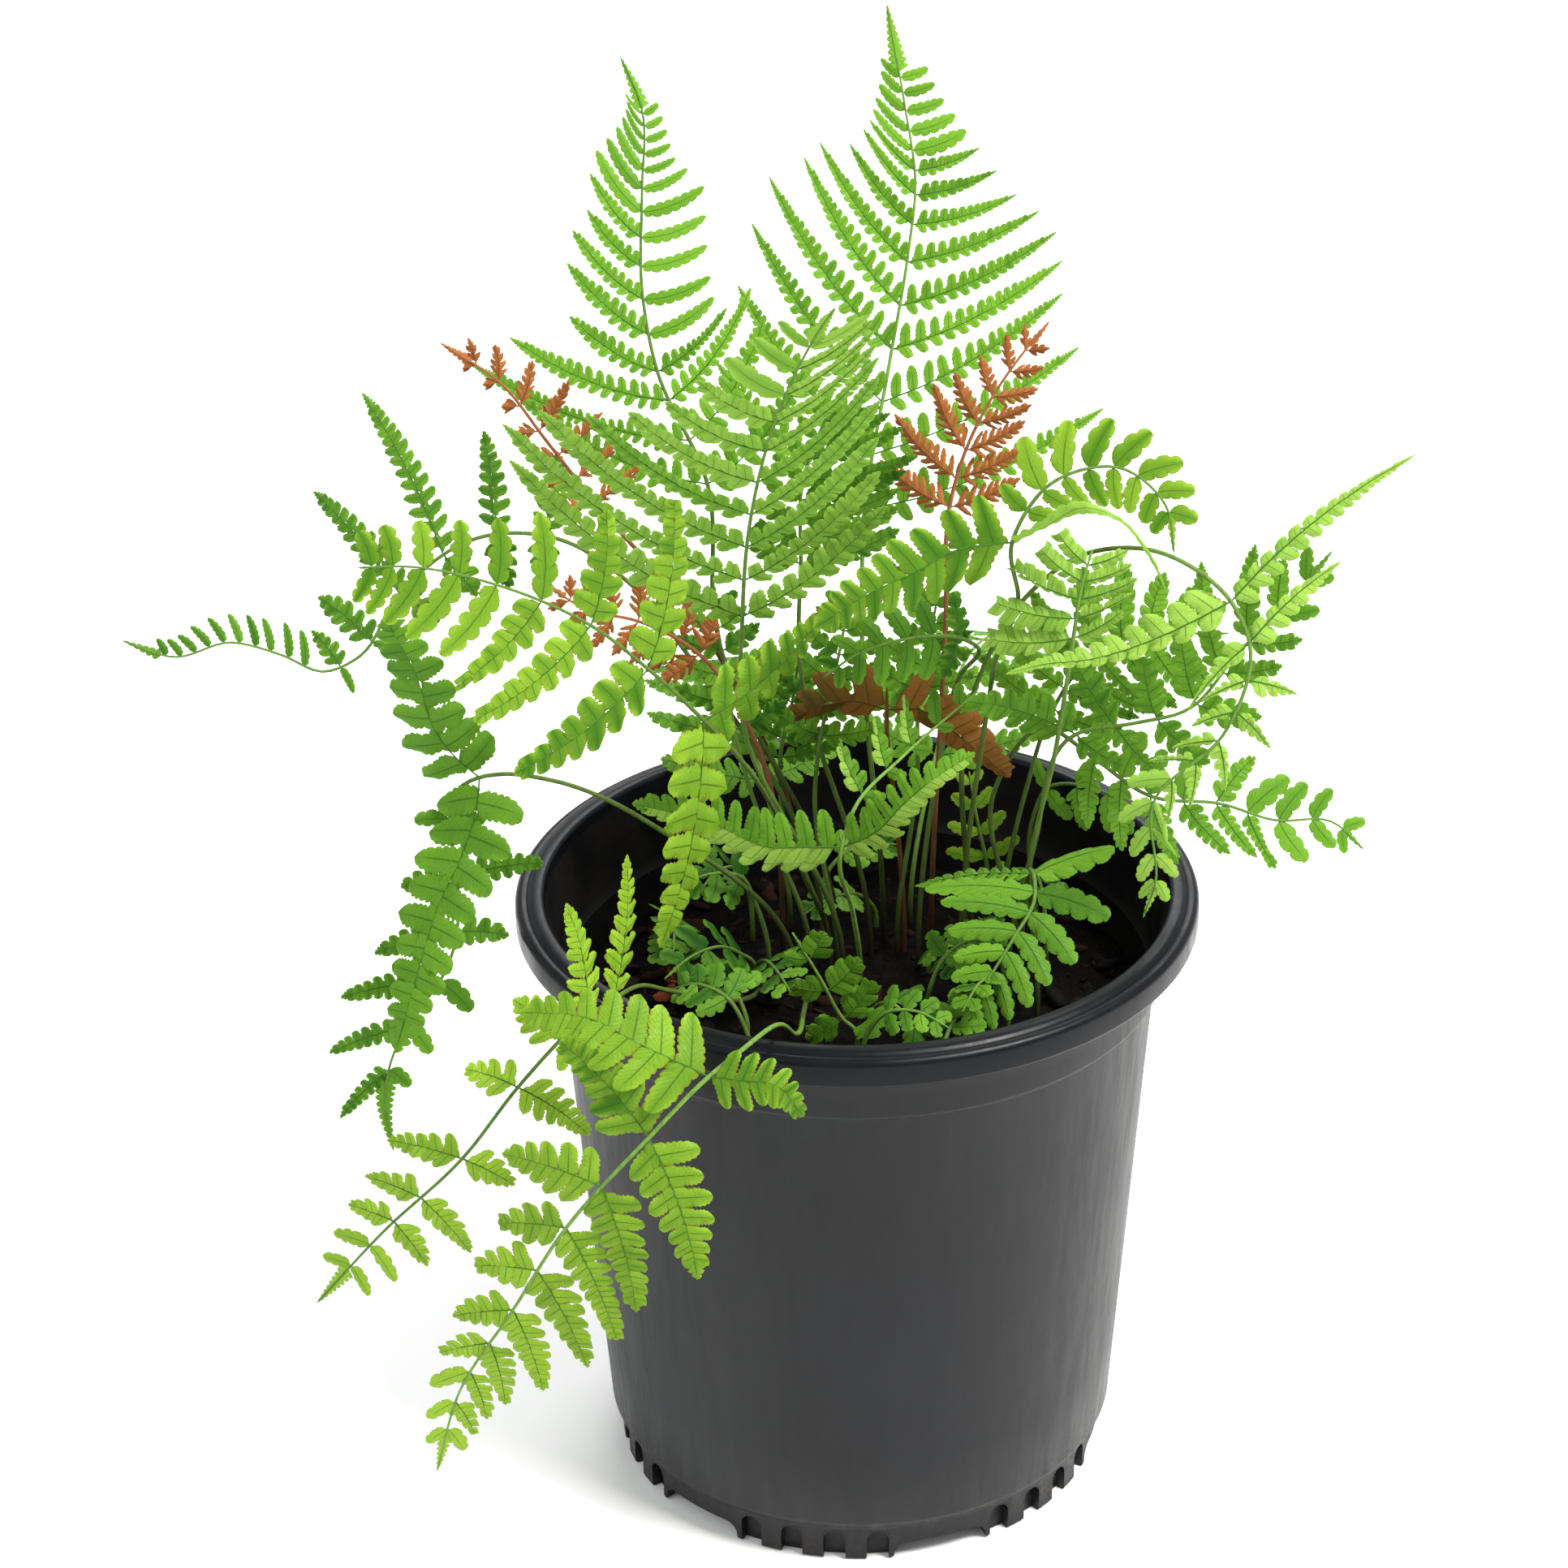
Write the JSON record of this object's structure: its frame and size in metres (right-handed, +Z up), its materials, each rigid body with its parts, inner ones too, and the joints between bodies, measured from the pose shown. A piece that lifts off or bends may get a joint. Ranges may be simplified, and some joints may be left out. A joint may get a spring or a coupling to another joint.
{
  "type": "potted fern",
  "caption": "Fern with arching green, pale and copper fronds in a round ribbed-foot plastic nursery pot.",
  "frame": {"origin": "on the pot's axis, at the surface that the pot stands on", "axes": "+Z up, -Y towards the pictured side, +X to the right in the picture"},
  "size_m": [0.3621, 0.2771, 0.419],
  "materials": {
    "pot_black": "satin",
    "mix_dark": "matte",
    "fresh": "satin",
    "green": "satin",
    "pale": "satin",
    "copper": "satin",
    "withered": "matte",
    "dry": "matte"
  },
  "bodies": {
    "root": {"pot": "pot_black", "potting_mix": "mix_dark", "frond_tall_right": "green", "frond_tall_left": "green", "frond_pale_middle": "pale", "frond_left_front": "fresh", "frond_far_left": "green", "frond_over_left_rim": "green", "frond_hanging_front": "fresh", "frond_hanging_left": "fresh", "frond_arched_right": "green", "frond_far_right": "pale", "frond_right_behind": "green", "frond_pale_right": "pale", "frond_right_middle": "green", "frond_low_right": "green", "frond_small_front_right": "green", "frond_curled_front": "fresh", "frond_middle_behind": "green", "frond_dark_middle": "green", "frond_back_right": "green", "frond_back_left": "green", "copper_frond_right": "copper", "copper_frond_left": "copper", "copper_frond_low": "copper", "frond_withered": "withered", "leaf_dry": "dry", "leaf_front_low": "fresh", "leaf_front_round": "green", "leaf_left_middle": "green", "leaf_left_low": "green", "leaf_right_strap": "green", "leaf_right_upright": "fresh"}
  },
  "joints": []
}
